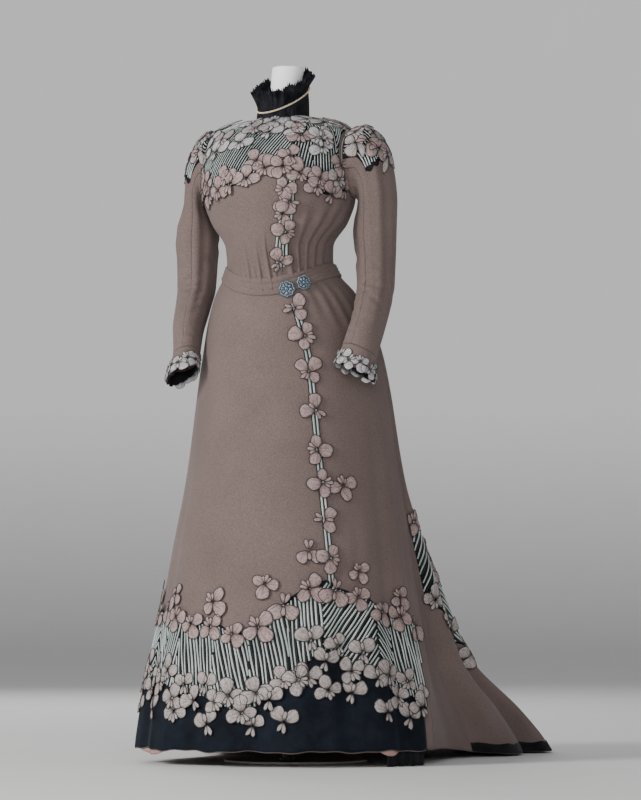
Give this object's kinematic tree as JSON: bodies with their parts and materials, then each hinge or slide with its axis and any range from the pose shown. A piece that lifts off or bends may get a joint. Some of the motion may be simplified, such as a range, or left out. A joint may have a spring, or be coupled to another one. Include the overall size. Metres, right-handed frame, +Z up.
{
  "type": "day dress on a dress form",
  "caption": "Long-sleeved day dress with high frilled collar, flowered yoke, pointed belt and trained skirt, worn on a limbless dress form that stands on a pole.",
  "frame": {"origin": "on the floor under the dress, at the body's own upright axis, on the underside of the stand's base plate", "axes": "+Z up, the front of the dress faces -Y, the wearer's left is +X"},
  "size_m": [0.778, 1.2126, 1.466],
  "materials": {
    "wool": "matte woven wool",
    "petals": "matte applied cloth with dark corded edges",
    "stripes": "silk stripes on black",
    "navy": "dark navy velvet",
    "black": "black gauze and silk",
    "cord": "twisted silk cord",
    "clasp": "worn blue-grey metal",
    "form": "smooth matte white",
    "pole": "dark satin paint",
    "base": "pale matte paint"
  },
  "bodies": {
    "root": {"bodice_front_right": "wool", "bodice_front_left": "wool", "bodice_back": "wool", "sleeve_upper_left": "wool", "sleeve_upper_right": "wool", "sleeve_under_left": "wool", "sleeve_under_right": "wool", "belt": "wool", "skirt_front": "wool", "skirt_back_left": "wool", "skirt_back_right": "wool", "yoke_front_right": "petals", "yoke_front_left": "petals", "yoke_back": "petals", "sleeve_cap_left": "petals", "sleeve_cap_right": "petals", "cuff_left": "petals", "cuff_right": "petals", "flower_skirt_1": "petals", "flower_skirt_2": "petals", "flower_skirt_3": "petals", "flower_skirt_4": "petals", "flower_skirt_5": "petals", "flower_skirt_6": "petals", "flower_skirt_7": "petals", "flower_skirt_8": "petals", "flower_skirt_9": "petals", "flower_skirt_10": "petals", "flower_bodice_1": "petals", "flower_bodice_2": "petals", "flower_bodice_3": "petals", "border_band": "stripes", "train_border_left": "stripes", "train_border_right": "stripes", "strip_bodice": "stripes", "strip_skirt": "stripes", "hem_panel": "navy", "collar_stand": "black", "collar_frill": "black", "cuff_lining_left": "black", "cuff_lining_right": "black", "train_binding": "black", "flounce": "black", "collar_cord": "cord", "clasp_right": "clasp", "clasp_left": "clasp", "form_torso": "form", "form_pole": "pole", "form_foot": "base", "form_base": "base"}
  },
  "joints": []
}
